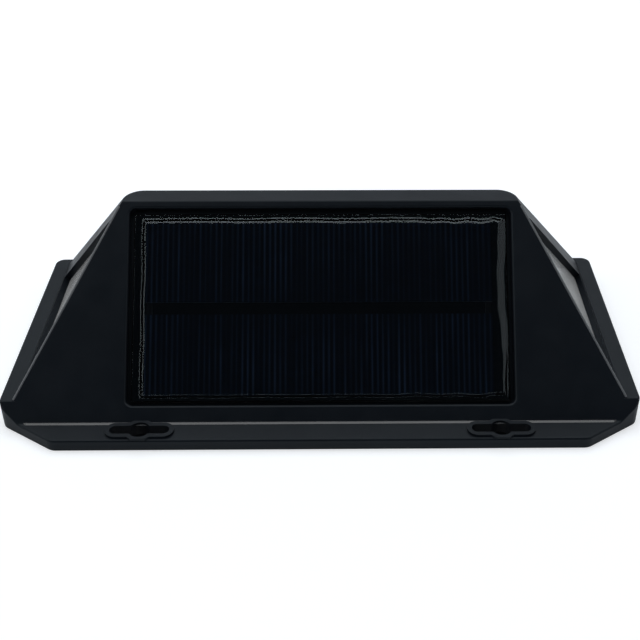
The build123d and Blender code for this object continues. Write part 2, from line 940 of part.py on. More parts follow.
for name, x, y, turn in (
    ("panel_socket", panel_lead_x, panel_socket_y, 0),
    ("battery_socket", battery_socket_x, battery_y, 90),
):
    with BuildPart() as socket:
        with BuildSketch(Plane.XY.offset(board_top_z)):
            with Locations((x, y)):
                Rectangle(socket_length, socket_width, rotation=turn)
        extrude(amount=socket_height)
    save(socket.part, name)

lead_end = lamp_plane.from_local_coords((0, 0, -led_board_back))
lamp_turn_y = lead_end.Y - (lead_end.Z - lamp_lead_turn_z) * tan(bay_far_angle)
for name, x in (("lamp_lead_black", lamp_lead_x), ("lamp_lead_red", lamp_lead_x + socket_pitch)):
    save(
        lead_tube(
            [
                (x, lamp_turn_y, board_top_z),
                (x, lamp_turn_y, lamp_lead_turn_z),
                (x, lead_end.Y, lead_end.Z),
            ],
            lamp_lead_d,
            lamp_lead_bend_r,
        ),
        name,
    )

# -------------------------------------------------------- battery and its holder
battery_z = cover_thickness + holder_floor + battery_d / 2
battery_plus_x = battery_x + battery_length / 2
battery_minus_x = battery_x - battery_length / 2
holder_half_width = battery_d / 2 + holder_side_gap + holder_wall
holder_plus_x = battery_plus_x + holder_end_gap + contact_thickness
holder_minus_x = battery_minus_x - holder_end_gap - contact_thickness
holder_floor_z = cover_thickness + holder_floor

with BuildPart() as battery_cell:
    with BuildSketch(Plane.YZ.offset(battery_minus_x)):
        with Locations((battery_y, battery_z)):
            Circle(battery_d / 2 - battery_wrap_thickness)
    extrude(amount=battery_length - battery_nub_length)
    with BuildSketch(Plane.YZ.offset(battery_plus_x - battery_nub_length)):
        with Locations((battery_y, battery_z)):
            Circle(battery_nub_d / 2)
    extrude(amount=battery_nub_length)
save(battery_cell.part, "battery_cell")

with BuildPart() as battery_wrap:
    with BuildSketch(Plane.YZ.offset(battery_minus_x)):
        with Locations((battery_y, battery_z)):
            Circle(battery_d / 2)
            Circle(battery_d / 2 - battery_wrap_thickness, mode=Mode.SUBTRACT)
    extrude(amount=battery_length - battery_nub_length)
save(battery_wrap.part, "battery_wrap")

with BuildPart() as battery_holder:
    with BuildSketch(Plane.XY.offset(cover_thickness)):
        with Locations(((holder_plus_x + holder_minus_x) / 2, battery_y)):
            Rectangle(
                holder_plus_x - holder_minus_x + 2 * holder_wall, 2 * holder_half_width
            )
    extrude(amount=holder_end_height)
    with BuildSketch(Plane.XY.offset(holder_floor_z)):
        with Locations(((holder_plus_x + holder_minus_x) / 2, battery_y)):
            Rectangle(
                holder_plus_x - holder_minus_x, 2 * (holder_half_width - holder_wall)
            )
    extrude(amount=holder_end_height, mode=Mode.SUBTRACT)
    with BuildSketch(Plane.XY.offset(cover_thickness + holder_side_height)):
        with Locations(((holder_plus_x + holder_minus_x) / 2, battery_y)):
            Rectangle(holder_plus_x - holder_minus_x, 2 * holder_half_width)
    extrude(amount=holder_end_height, mode=Mode.SUBTRACT)
save(battery_holder.part, "battery_holder")

lug_top_z = cover_thickness + holder_end_height + contact_lug_rise
for name, x, inward, lug_y, base_d, top_d in (
    ("battery_contact_plus", holder_plus_x, -1, battery_y - socket_pitch / 2,
     dimple_base_d, dimple_top_d),
    ("battery_contact_minus", holder_minus_x, 1, battery_y + socket_pitch / 2,
     spring_base_d, spring_top_d),
):
    with BuildPart() as contact:
        with BuildSketch(Plane.YZ.offset(x)):
            with Locations((battery_y, holder_floor_z + contact_foot)):
                Rectangle(
                    contact_width, holder_end_height - holder_floor - contact_foot,
                    align=(Align.CENTER, Align.MIN),
                )
            with Locations((lug_y, holder_floor_z + contact_foot)):
                Rectangle(
                    contact_lug_width, lug_top_z - holder_floor_z - contact_foot,
                    align=(Align.CENTER, Align.MIN),
                )
        extrude(amount=inward * contact_thickness)
        with BuildSketch(Plane.YZ.offset(x + inward * contact_thickness)):
            with Locations((battery_y, battery_z)):
                Circle(base_d / 2)
        with BuildSketch(Plane.YZ.offset(x + inward * (contact_thickness + holder_end_gap))):
            with Locations((battery_y, battery_z)):
                Circle(top_d / 2)
        loft(ruled=True)
    save(contact.part, name)

for name, x, y in (
    ("battery_lead_red", holder_plus_x - contact_thickness / 2, battery_y - socket_pitch / 2),
    ("battery_lead_black", holder_minus_x + contact_thickness / 2, battery_y + socket_pitch / 2),
):
    save(
        lead_tube(
            [
                (x, y, lug_top_z),
                (x, y, battery_lead_z),
                (battery_socket_x, y, battery_lead_z),
                (battery_socket_x, y, socket_top_z),
            ],
            lead_d,
            lead_bend_r,
        ),
        name,
    )

# --------------------------------------------------------------- power button
seal_top_z = cover_thickness + seal_thickness
flange_foot_z = seal_top_z + seal_gap
flange_top_z = flange_foot_z + button_flange_thickness
button_place = (button_x, button_y)

with BuildPart() as power_button:
    with BuildSketch(Plane.XY.offset(button_recess)):
        with Locations(button_place):
            Circle(button_d / 2)
    extrude(amount=flange_top_z - button_recess)
    fillet(power_button.edges().group_by(Axis.Z)[0], button_edge_r)
    with BuildSketch(Plane.XY.offset(flange_foot_z)):
        with Locations(button_place):
            Circle(button_flange_d / 2)
    extrude(amount=button_flange_thickness)
save(power_button.part, "power_button")

with BuildPart() as button_seal:
    with BuildSketch(Plane.XY.offset(cover_thickness)):
        with Locations(button_place):
            Circle(seal_outer_d / 2)
            Circle(button_d / 2 + seal_side_gap, mode=Mode.SUBTRACT)
    extrude(amount=seal_thickness)
save(button_seal.part, "button_seal")

with BuildPart() as switch_plunger:
    with BuildSketch(Plane.XY.offset(flange_top_z)):
        with Locations(button_place):
            Circle(plunger_d / 2)
    extrude(amount=plunger_length)
save(switch_plunger.part, "switch_plunger")

with BuildPart() as push_switch:
    with BuildSketch(Plane.XY.offset(board_z)):
        with Locations(button_place):
            Rectangle(switch_size, switch_size)
    extrude(amount=-switch_height)
    with BuildSketch(Plane.XY.offset(board_z - switch_height)):
        with Locations(button_place):
            Circle(plunger_d / 2 + plunger_clearance)
    extrude(
        amount=flange_top_z + plunger_length + button_travel + switch_end_gap
        - board_z + switch_height,
        mode=Mode.SUBTRACT,
    )
save(push_switch.part, "push_switch")
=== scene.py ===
"""A solar fence light lying on its back: black wedge housing, solar panel, clear windows."""
from math import cos, radians, sin

import bmesh
import bpy
import numpy as np
from mathutils import Matrix, Vector


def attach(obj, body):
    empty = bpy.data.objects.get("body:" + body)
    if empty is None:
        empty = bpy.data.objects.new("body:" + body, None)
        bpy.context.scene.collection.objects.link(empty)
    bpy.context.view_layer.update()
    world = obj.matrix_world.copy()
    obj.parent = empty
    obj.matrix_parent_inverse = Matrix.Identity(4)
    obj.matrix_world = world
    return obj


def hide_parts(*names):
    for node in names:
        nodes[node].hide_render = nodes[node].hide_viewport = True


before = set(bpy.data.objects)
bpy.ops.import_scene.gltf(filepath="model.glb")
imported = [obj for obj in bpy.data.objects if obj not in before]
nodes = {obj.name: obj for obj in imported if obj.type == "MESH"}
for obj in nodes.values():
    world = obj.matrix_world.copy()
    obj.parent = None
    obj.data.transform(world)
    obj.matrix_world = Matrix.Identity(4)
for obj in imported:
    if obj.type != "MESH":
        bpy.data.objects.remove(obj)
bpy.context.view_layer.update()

scene = bpy.context.scene
MM = 0.001

# ---- Camera -----------------------------------------------------------------
# A lens of 60 mm on a tripod in front of the keyhole edge, looking down about 35
# degrees, square on but for a slight turn and roll. Lens and place are real sizes.
camera_place = Vector((5.692, -272.456, 201.968)) * MM
turned, tipped, rolled = radians(0.983), radians(34.649), radians(0.329)
look = Vector((sin(turned) * cos(tipped), cos(turned) * cos(tipped), -sin(tipped)))
level = look.cross(Vector((0, 0, 1))).normalized()
upward = level.cross(look)
right = level * cos(rolled) + upward * sin(rolled)
top = upward * cos(rolled) - level * sin(rolled)
lens = bpy.data.cameras.new("photo_lens")
lens.lens, lens.sensor_width, lens.clip_start = 59.882, 36.0, 0.01
lens.shift_x, lens.shift_y = -0.0553, -0.0013
camera = bpy.data.objects.new("photo_lens", lens)
scene.collection.objects.link(camera)
turn = Matrix((right, top, -look)).transposed()
camera.matrix_world = Matrix.Translation(camera_place) @ turn.to_4x4()
scene.camera = camera
scene.view_settings.view_transform = "Standard"

# ---- Studio -----------------------------------------------------------------
# A pale floor that curves up into a backdrop behind the light, soft lamps over it
# and to both sides, one under the floor for the light's back, and a dim room.


def grid_quads(rows, columns, close=False):
    """Point numbers of the quads between neighbours on a grid of rows x columns."""
    index = np.arange(rows * columns).reshape(rows, columns)
    if close:
        index = np.concatenate([index, index[:, :1]], axis=1)
    corners = [index[:-1, :-1], index[:-1, 1:], index[1:, 1:], index[1:, :-1]]
    return np.stack(corners, axis=-1).reshape(-1, 4)


def new_piece(name, points, faces, smooth):
    """An object at the origin from points and quads, with one flag a quad for smooth."""
    mesh = bpy.data.meshes.new(name)
    mesh.from_pydata(points.tolist(), [], faces.tolist())
    mesh.polygons.foreach_set("use_smooth", smooth)
    mesh.update()
    piece = bpy.data.objects.new(name, mesh)
    scene.collection.objects.link(piece)
    return piece


def sheet_mesh(name, grid, close=False):
    """A smooth surface over a rows x columns x 3 grid; close joins the last column to the first."""
    quads = grid_quads(*grid.shape[:2], close)
    return new_piece(name, grid.reshape(-1, 3), quads, np.ones(len(quads), bool))


def studio_sheet():
    """Level floor from the front to behind the light, a quarter circle, then a wall."""
    front, back, bend_r, wall_top, half = -1.6, 0.9, 0.5, 2.2, 2.4
    under_light = 0.0002
    bend = np.linspace(0, np.pi / 2, 17)
    y = np.concatenate([[front], back + bend_r * np.sin(bend), [back + bend_r]])
    z = np.concatenate([[0.0], bend_r * (1 - np.cos(bend)), [wall_top]])
    grid = np.empty((len(y), 2, 3))
    grid[..., 0] = np.array([-half, half])
    grid[..., 1] = y[:, None]
    grid[..., 2] = z[:, None] - under_light
    return sheet_mesh("studio_floor", grid)


def new_material(name):
    """An empty node material with its node tree to build in and its output."""
    material = bpy.data.materials.new(name)
    material.use_nodes = True
    tree = material.node_tree
    tree.nodes.clear()
    return material, tree, tree.nodes.new("ShaderNodeOutputMaterial")


def maths(tree, operation, *terms):
    """The result of one Math node, whose terms are numbers or other nodes' outputs."""
    node = tree.nodes.new("ShaderNodeMath")
    node.operation = operation
    for socket, term in zip(node.inputs, terms):
        if isinstance(term, bpy.types.NodeSocket):
            tree.links.new(term, socket)
        else:
            socket.default_value = term
    return node.outputs[0]


def seen_lift(tree, shown, mirrored):
    """Glow for rays from the camera or through a clear piece, and less for mirrored ones."""
    rays = tree.nodes.new("ShaderNodeLightPath").outputs
    straight = maths(tree, "MAXIMUM", rays["Is Camera Ray"], rays["Is Transmission Ray"])
    lift = maths(tree, "MULTIPLY", straight, shown)
    return maths(tree, "MULTIPLY_ADD", rays["Is Glossy Ray"], mirrored, lift)


def one_sided(tree, shader):
    """The shader from above, and nothing for a camera that looks up from below."""
    backfacing = tree.nodes.new("ShaderNodeNewGeometry").outputs["Backfacing"]
    camera_ray = tree.nodes.new("ShaderNodeLightPath").outputs["Is Camera Ray"]
    pick = tree.nodes.new("ShaderNodeMixShader")
    tree.links.new(maths(tree, "MULTIPLY", backfacing, camera_ray), pick.inputs["Fac"])
    tree.links.new(shader, pick.inputs[1])
    tree.links.new(tree.nodes.new("ShaderNodeBsdfTransparent").outputs[0], pick.inputs[2])
    return pick.outputs[0]


floor = studio_sheet()
paper, tree, out = new_material("studio_paper")
matt = tree.nodes.new("ShaderNodeBsdfDiffuse")
matt.inputs["Color"].default_value = (0.62, 0.66, 0.7, 1)
glow = tree.nodes.new("ShaderNodeEmission")
lit = tree.nodes.new("ShaderNodeAddShader")
tree.links.new(seen_lift(tree, 0.5, 0.1), glow.inputs["Strength"])
tree.links.new(matt.outputs[0], lit.inputs[0])
tree.links.new(glow.outputs[0], lit.inputs[1])
tree.links.new(one_sided(tree, lit.outputs[0]), out.inputs["Surface"])
floor.data.materials.append(paper)
floor.visible_shadow = False  # the lamp under the floor lights the light's back

# A black card between the floor and the flange is painted shade: it keeps the keyholes dark, so
# they look deep, where the lit floor would show white through them.
card_half, card_near, card_far, card_level = 0.0745, -0.0446, -0.0338, -0.0001
card_x, card_y = np.meshgrid([-card_half, card_half], [card_near, card_far])
card_grid = np.stack([card_x, card_y, np.full_like(card_x, card_level)], axis=-1)
card = sheet_mesh("shadow_card", card_grid)
keyhole_painted_shade, tree, out = new_material("keyhole_painted_shade")
# The card's near-black colour is painted shade for the inside of the keyholes.
shade_black = tree.nodes.new("ShaderNodeBsdfDiffuse")
shade_black.inputs["Color"].default_value = (0.004, 0.005, 0.006, 1)
tree.links.new(one_sided(tree, shade_black.outputs[0]), out.inputs["Surface"])
card.data.materials.append(keyhole_painted_shade)
card.visible_shadow = False

world = bpy.data.worlds.new("studio_room")
scene.world = world
world.use_nodes = True
tree = world.node_tree
tree.nodes.clear()
room = tree.nodes.new("ShaderNodeBackground")
room.inputs["Color"].default_value = (0.024, 0.032, 0.042, 1)
white = tree.nodes.new("ShaderNodeBackground")
white.inputs["Color"].default_value = (1, 1, 1, 1)
path = tree.nodes.new("ShaderNodeLightPath")
pick = tree.nodes.new("ShaderNodeMixShader")
out = tree.nodes.new("ShaderNodeOutputWorld")
tree.links.new(path.outputs["Is Camera Ray"], pick.inputs["Fac"])
tree.links.new(room.outputs[0], pick.inputs[1])
tree.links.new(white.outputs[0], pick.inputs[2])
tree.links.new(pick.outputs[0], out.inputs["Surface"])


def soft_lamp(name, place, aim, size, watts):
    """A square area lamp at place, turned to face aim."""
    lamp = bpy.data.lights.new(name, "AREA")
    lamp.size = size
    lamp.energy = watts
    holder = bpy.data.objects.new(name, lamp)
    scene.collection.objects.link(holder)
    holder.location = place
    holder.rotation_euler = (Vector(aim) - Vector(place)).to_track_quat("-Z", "Y").to_euler()


soft_lamp("lamp_over", place=(0.0, 0.35, 1.6), aim=(0, 0.05, 0), size=2.2, watts=23.5)
soft_lamp("lamp_left", place=(-1.4, -0.3, 0.9), aim=(0, 0, 0.02), size=1.8, watts=10)
soft_lamp("lamp_right", place=(1.4, -0.3, 0.9), aim=(0, 0, 0.02), size=1.8, watts=5.5)
soft_lamp("lamp_below", place=(0, 0, -1.1), aim=(0, 0, 0), size=0.9, watts=9)

# ---- Housing ----------------------------------------------------------------
# The one-piece front shell, injection moulded in black ABS with a satin skin:
# roof with its panel pan, leaning sides, base plate with ledges and keyholes.


def surface_noise(tree, scale, detail, coordinates):
    """A noise in object space; scale is in features per metre."""
    noise = tree.nodes.new("ShaderNodeTexNoise")
    noise.inputs["Scale"].default_value = scale
    noise.inputs["Detail"].default_value = detail
    tree.links.new(coordinates, noise.inputs["Vector"])
    return noise.outputs[0]


def spread(tree, value, low, high, start=0.35, end=0.65):
    """Value from start..end stretched to low..high."""
    stretch = tree.nodes.new("ShaderNodeMapRange")
    stretch.inputs["From Min"].default_value = start
    stretch.inputs["From Max"].default_value = end
    stretch.inputs["To Min"].default_value = low
    stretch.inputs["To Max"].default_value = high
    tree.links.new(value, stretch.inputs["Value"])
    return stretch.outputs[0]


def two_tone(tree, value, dark, light):
    """A colour between dark and light by value."""
    ramp = tree.nodes.new("ShaderNodeValToRGB")
    ramp.color_ramp.elements[0].position = 0.3
    ramp.color_ramp.elements[0].color = (*dark, 1)
    ramp.color_ramp.elements[1].position = 0.7
    ramp.color_ramp.elements[1].color = (*light, 1)
    tree.links.new(value, ramp.inputs["Fac"])
    return ramp.outputs["Color"]


def ripple(tree, skin, height, distance, strength=1.0):
    """Bump on a shader: height 1 stands distance metres proud."""
    bump = tree.nodes.new("ShaderNodeBump")
    bump.inputs["Distance"].default_value = distance
    bump.inputs["Strength"].default_value = strength
    tree.links.new(height, bump.inputs["Height"])
    tree.links.new(bump.outputs[0], skin.inputs["Normal"])


def moulded(name, dark, light, rough, grain, depth, **constants):
    """Moulded plastic or rubber: mottled colour, uneven gloss and a fine grain.

    rough is the range of roughness, grain the grains per metre, depth their height
    in metres, and constants go straight on the shader's sockets.
    """
    material, tree, out = new_material(name)
    place = tree.nodes.new("ShaderNodeTexCoord").outputs["Object"]
    skin = tree.nodes.new("ShaderNodeBsdfPrincipled")
    cloud = surface_noise(tree, 60, 4, place)
    gloss = spread(tree, surface_noise(tree, 140, 5, place), *rough)
    tree.links.new(two_tone(tree, cloud, dark, light), skin.inputs["Base Color"])
    tree.links.new(gloss, skin.inputs["Roughness"])
    ripple(tree, skin, surface_noise(tree, grain, 3, place), depth, strength=0.6)
    for socket, value in constants.items():
        skin.inputs[socket.replace("_", " ")].default_value = value
    tree.links.new(skin.outputs[0], out.inputs["Surface"])
    return material


def finish_node(material, *names):
    """Give CAD nodes a material."""
    for name in names:
        nodes[name].data.materials.clear()
        nodes[name].data.materials.append(material)


# The bluish specular tint paints a blue cast into the housing's reflections.
satin_black = moulded(
    "satin_black",
    dark=(0.0042, 0.0058, 0.0085),
    light=(0.0054, 0.0072, 0.0104),
    rough=(0.34, 0.42),
    grain=2600,
    depth=0.00002,
    Specular_IOR_Level=0.17,
    Specular_Tint=(0.8, 0.93, 1.0, 1.0),
)
finish_node(satin_black, "front_housing")

# ---- Roof edges -------------------------------------------------------------
# The rounded edge that the mould leaves along both sides of the roof sheet, and the hollow at its
# foot: parts of the same black moulding, coloured lighter than it as painted highlights.
roof_angle = radians(48.0)
roof_foot = np.array([0.0, -37.7, 3.5]) * MM
up_roof = np.array([0.0, cos(roof_angle), sin(roof_angle)])
off_roof = np.array([0.0, -sin(roof_angle), cos(roof_angle)])


def on_roof(x, up, out):
    """Points given as distance across, up the roof from its foot, and out from it, in mm."""
    x, up, out = np.broadcast_arrays(x, up, out)
    across = x[..., None] * np.array([1.0, 0.0, 0.0])
    return roof_foot + MM * (across + up[..., None] * up_roof + out[..., None] * off_roof)


def close_poles(piece):
    """Join the points that meet at a pole or a seam and drop the faces left flat."""
    work = bmesh.new()
    work.from_mesh(piece.data)
    bmesh.ops.remove_doubles(work, verts=work.verts, dist=2e-7)
    bmesh.ops.dissolve_degenerate(work, edges=work.edges, dist=1e-7)
    bmesh.ops.recalc_face_normals(work, faces=work.faces)
    work.to_mesh(piece.data)
    work.free()
    return piece


def roof_bead(name, side):
    """A round rod along the roof sheet's side edge, its ends half balls.

    The middle runs straight from foot to ridge; the radius at a distance s from an
    end is r * sqrt(1 - (1 - s / r)^2) within one radius of it, and r beyond.
    """
    radius, inset = 0.36, 0.22
    half_at_foot, foot_up = 88.6, 6.9
    half_at_head, head_up = 59.4, 63.9
    foot = np.array([side * (half_at_foot - inset), foot_up])
    head = np.array([side * (half_at_head - inset), head_up])
    length = np.linalg.norm(head - foot)
    end = radius * (1 - np.cos(np.linspace(0, np.pi / 2, 6)))
    run = np.concatenate([end, np.linspace(1, length - 1, 12), length - end[::-1]])
    near = np.clip(np.minimum(run, length - run) / radius, 0, 1)
    thick = radius * np.sqrt(1 - (1 - near) ** 2)
    along = (head - foot) / length
    angle = np.linspace(0, 2 * np.pi, 16, endpoint=False)
    sideways = thick[:, None] * np.cos(angle)
    x = foot[0] + run[:, None] * along[0] + sideways * along[1]
    up = foot[1] + run[:, None] * along[1] - sideways * along[0]
    grid = on_roof(x, up, thick[:, None] * np.sin(angle) - inset)
    piece = close_poles(sheet_mesh(name, grid, close=True))
    piece.data.materials.append(painted_edge_highlight)
    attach(piece, "light")


# Much lighter than the housing's black: the colour is a painted highlight along the roof's side
# edges.
painted_edge_highlight = moulded(
    "painted_edge_highlight",
    dark=(0.07, 0.077, 0.085),
    light=(0.095, 0.103, 0.112),
    rough=(0.26, 0.34),
    grain=2600,
    depth=0.00001,
    Specular_IOR_Level=1.0,
)
roof_bead("roof_bead_left", -1)
roof_bead("roof_bead_right", 1)


def root_strip(name):
    """The glossy hollow where the roof meets the flange; its colour, lighter than the housing's, is
    a painted highlight.

    Its face is an arc that touches both planes, drawn in the YZ plane round a centre
    that stands one radius off each; the back is the corner itself, sunk a little.
    """
    radius, half, sunk = 1.75, 85.2, 0.04
    corner_y, corner_z = -37.7, 3.5
    centre_y = corner_y - radius * (1 - cos(roof_angle)) / sin(roof_angle)
    arc = np.linspace(0, roof_angle, 12)
    y = np.append(centre_y + radius * np.sin(arc), corner_y)
    z = np.append(corner_z + radius * (1 - np.cos(arc)), corner_z) - sunk
    rows = np.concatenate([[-half, -half], np.linspace(-half + 1, half - 1, 60), [half, half]])
    grid = np.stack(np.broadcast_arrays(rows[:, None], y[None], z[None]), axis=-1).copy()
    grid[0, :, 1:] = grid[-1, :, 1:] = (corner_y, corner_z - sunk / 2)
    piece = close_poles(sheet_mesh(name, grid * MM, close=True))
    piece.data.materials.append(painted_root_highlight)
    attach(piece, "light")


# Lighter than the housing's black: the colour is a painted highlight along the roof's foot.
painted_root_highlight = moulded(
    "painted_root_highlight",
    dark=(0.016, 0.019, 0.022),
    light=(0.026, 0.03, 0.034),
    rough=(0.2, 0.28),
    grain=2600,
    depth=0.00001,
    Specular_IOR_Level=0.8,
)
root_strip("flange_root")

# ---- Windows ----------------------------------------------------------------
# Three clear polycarbonate plates bonded behind the openings in both sides and the
# far side; a fine frosting makes the two at the sides half milky, the far one less.


def frosted_plate(name, haze, clearness, rough):
    """Thin plate: see-through by its clearness, the rest a glossy haze, faintly rippled."""
    material, tree, out = new_material(name)
    place = tree.nodes.new("ShaderNodeTexCoord").outputs["Object"]
    plate = tree.nodes.new("ShaderNodeBsdfPrincipled")
    darker = [0.97 * part for part in haze]
    cloud = surface_noise(tree, 70, 3, place)
    gloss = spread(tree, surface_noise(tree, 90, 4, place), rough * 0.8, rough * 1.2)
    tree.links.new(two_tone(tree, cloud, haze, darker), plate.inputs["Base Color"])
    plate.inputs["Alpha"].default_value = 1 - clearness
    tree.links.new(gloss, plate.inputs["Roughness"])
    ripple(tree, plate, surface_noise(tree, 45, 2, place), 0.00005, strength=0.4)
    tree.links.new(plate.outputs[0], out.inputs["Surface"])
    return material


haze_white = (0.95, 0.96, 0.96)
window_clear = frosted_plate("window_clear", haze_white, clearness=0.5, rough=0.12)
finish_node(window_clear, "lens_left", "lens_right")
window_far = frosted_plate("window_far", haze_white, clearness=0.9, rough=0.12)
finish_node(window_far, "lens_far")

# ---- Reflector --------------------------------------------------------------
# A glossy white moulded tray under the windows, with a raised bay that carries
# the lamps in ten small openings and hides the battery and the boards.
reflector_white = moulded(
    "reflector_white",
    dark=(0.86, 0.87, 0.87),
    light=(0.9, 0.905, 0.905),
    rough=(0.22, 0.3),
    grain=1500,
    depth=0.00001,
)
finish_node(reflector_white, "reflector_tray")

# ---- Solar panel ------------------------------------------------------------
# Two strips of dark blue silicon on a dark glass-fibre sheet, joined by black-coated
# copper ribbons and bonded into the roof's recess with foam tape.
backing = moulded(
    "backing",
    dark=(0.0006, 0.0009, 0.001),
    light=(0.001, 0.0014, 0.0017),
    rough=(0.5, 0.6),
    grain=1200,
    depth=0.00001,
    Specular_IOR_Level=0.02,
)
finish_node(backing, "panel_board")
foam = moulded(
    "foam_tape",
    dark=(0.6, 0.6, 0.57),
    light=(0.7, 0.7, 0.66),
    rough=(0.75, 0.9),
    grain=1800,
    depth=0.00006,
)
finish_node(foam, "panel_tape")


def striped_silicon(name, dark, line, pitch):
    """Dark silicon with fine bright fingers across X, a pitch apart, of uneven strength.

    Strength is a raised sine of X times a noise that is long up the roof, so that a
    finger stays the same over its length and differs from the next one.
    """
    wave_turn = 20  # radians a metre that the wave node turns at a scale of 1
    material, tree, out = new_material(name)
    place = tree.nodes.new("ShaderNodeTexCoord").outputs["Object"]
    wave = tree.nodes.new("ShaderNodeTexWave")
    wave.bands_direction = "X"
    wave.inputs["Scale"].default_value = 2 * np.pi / (wave_turn * pitch)
    tree.links.new(place, wave.inputs["Vector"])
    narrow = maths(tree, "POWER", wave.outputs["Fac"], 2.5)
    along = tree.nodes.new("ShaderNodeMapping")
    along.inputs["Scale"].default_value = (1.0, 0.02, 0.02)
    tree.links.new(place, along.inputs["Vector"])
    uneven = spread(tree, surface_noise(tree, 900, 3, along.outputs[0]), 0.1, 1.0)
    patchy = spread(tree, surface_noise(tree, 45, 3, place), 0.35, 1.0)
    strength = maths(tree, "MULTIPLY", maths(tree, "MULTIPLY", narrow, uneven), patchy)
    ramp = tree.nodes.new("ShaderNodeValToRGB")
    ramp.color_ramp.elements[0].color = (*dark, 1)
    ramp.color_ramp.elements[1].color = (*line, 1)
    tree.links.new(strength, ramp.inputs["Fac"])
    skin = tree.nodes.new("ShaderNodeBsdfPrincipled")
    skin.inputs["Specular IOR Level"].default_value = 0.03
    tree.links.new(ramp.outputs["Color"], skin.inputs["Base Color"])
    tree.links.new(spread(tree, uneven, 0.35, 0.5, 0, 1), skin.inputs["Roughness"])
    tree.links.new(skin.outputs[0], out.inputs["Surface"])
    return material


finger_pitch = 1.57 * MM
silicon = striped_silicon(
    "silicon", dark=(0.0004, 0.0012, 0.0034), line=(0.008, 0.017, 0.036), pitch=finger_pitch
)
finish_node(silicon, "solar_cells")
coated_copper = moulded(
    "coated_copper",
    dark=(0.0006, 0.0009, 0.001),
    light=(0.0012, 0.0016, 0.0018),
    rough=(0.4, 0.5),
    grain=1500,
    depth=0.00001,
    Specular_IOR_Level=0.05,
)
finish_node(coated_copper, "cell_ribbons")

# ---- Cast resin -------------------------------------------------------------
# Clear resin poured over the cells and left to set: flat over the middle, with a
# rounded shore that wanders where the pour stopped short of the sheet's edge.


def clear_plastic(name, tint, rough):
    """Clear solid plastic of slightly uneven polish; its ripples are in its mesh."""
    material, tree, out = new_material(name)
    place = tree.nodes.new("ShaderNodeTexCoord").outputs["Object"]
    glass = tree.nodes.new("ShaderNodeBsdfPrincipled")
    glass.inputs["Base Color"].default_value = (*tint, 1)
    glass.inputs["Transmission Weight"].default_value = 1.0
    glass.inputs["IOR"].default_value = 1.5
    # The bluish specular tint paints a blue cast into the resin's reflections.
    glass.inputs["Specular Tint"].default_value = (0.8, 0.93, 1.0, 1.0)
    gloss = spread(tree, surface_noise(tree, 90, 4, place), rough * 0.8, rough * 1.2)
    tree.links.new(gloss, glass.inputs["Roughness"])
    tree.links.new(glass.outputs[0], out.inputs["Surface"])
    return material


def fine_edges(low, high, rim, fine, coarse):
    """Places from low to high, fine apart within rim of each end and coarse between."""
    edge = np.arange(0, rim, fine)
    middle = np.linspace(low + rim, high - rim, int((high - low - 2 * rim) / coarse))
    return np.concatenate([low + edge, middle, (high - edge)[::-1]])


def shore(distance, width):
    """Half-cosine rise from 0 to 1 over width, for a distance in from the shore."""
    return 0.5 - 0.5 * np.cos(np.pi * np.clip(distance / width, 0, 1))


def resin_height(x, up):
    """Height of the casting: the least rise of the four shores over a thin film.

    Each shore stands a few tenths of a millimetre in or out of its mean line by a sum
    of sines; they wander most at the far right, where the photograph shows it. The
    last term is a faint swell over the whole casting.
    """
    film, rise_height, swell_height = 0.15, 0.92, 0.012
    left_line, right_line, far_line, near_line = -52.7, 54.6, 60.6, 7.2
    restless = shore(x - 18, 45)
    lower = np.clip((34 - up) / 28, 0, 1)
    from_left = x - left_line - 0.12 * np.sin(up * 0.31 + 0.4)
    right_shore = right_line - 0.35 * np.sin(up * 0.17 + 1.1)
    right_shore = right_shore - 0.12 * np.sin(up * 0.61) + 0.1 * lower
    far_shore = far_line - 0.1 * np.sin(x * 0.21)
    far_shore = far_shore - 0.55 * restless * (0.6 + np.sin(x * 0.83) ** 3)
    near_shore = near_line + 0.08 * np.sin(x * 0.27)
    near_shore = near_shore + 0.3 * shore(x - 5, 50) * np.sin(x * 0.52)
    rise = np.minimum(shore(from_left, 1.5), shore(right_shore - x, 2.9 - 1.1 * lower))
    rise = np.minimum(rise, shore(far_shore - up, 1.9))
    rise = np.minimum(rise, shore(up - near_shore, 1.3))
    swell = swell_height * np.sin(x * 0.23 + up * 0.11) * np.sin(up * 0.19 - x * 0.05)
    return film + rise_height * rise + swell * rise


def closed_slab(name, top_grid, foot_grid):
    """A closed piece from two equal grids: top, foot turned over, and walls round them."""
    rows, columns = top_grid.shape[:2]
    count = rows * columns
    index = np.arange(count).reshape(rows, columns)
    quads = grid_quads(rows, columns)
    rim = np.concatenate([index[0, :-1], index[:-1, -1], index[-1, :0:-1], index[:0:-1, 0]])
    ahead = np.roll(rim, -1)
    walls = np.stack([rim, rim + count, ahead + count, ahead], axis=-1)
    faces = np.concatenate([quads, quads[:, ::-1] + count, walls])
    points = np.concatenate([top_grid.reshape(-1, 3), foot_grid.reshape(-1, 3)])
    return new_piece(name, points, faces, np.arange(len(faces)) < len(quads))


sheet_half, sheet_near, sheet_far = 54.7, 6.5, 61.4
sheet_level = -1.51  # a hair under the sheet's face, so that no air is left below the resin
across = fine_edges(-sheet_half, sheet_half, rim=4.0, fine=0.12, coarse=1.0)
upwards = fine_edges(sheet_near, sheet_far, rim=3.0, fine=0.12, coarse=1.0)
x, up = np.meshgrid(across, upwards)
casting = closed_slab(
    "resin_casting",
    on_roof(x, up, sheet_level + resin_height(x, up)),
    on_roof(x, up, np.full_like(x, sheet_level)),
)
casting.data.materials.append(clear_plastic("resin_clear", tint=(0.9, 0.95, 1.0), rough=0.03))
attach(casting, "light")
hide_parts("panel_resin")

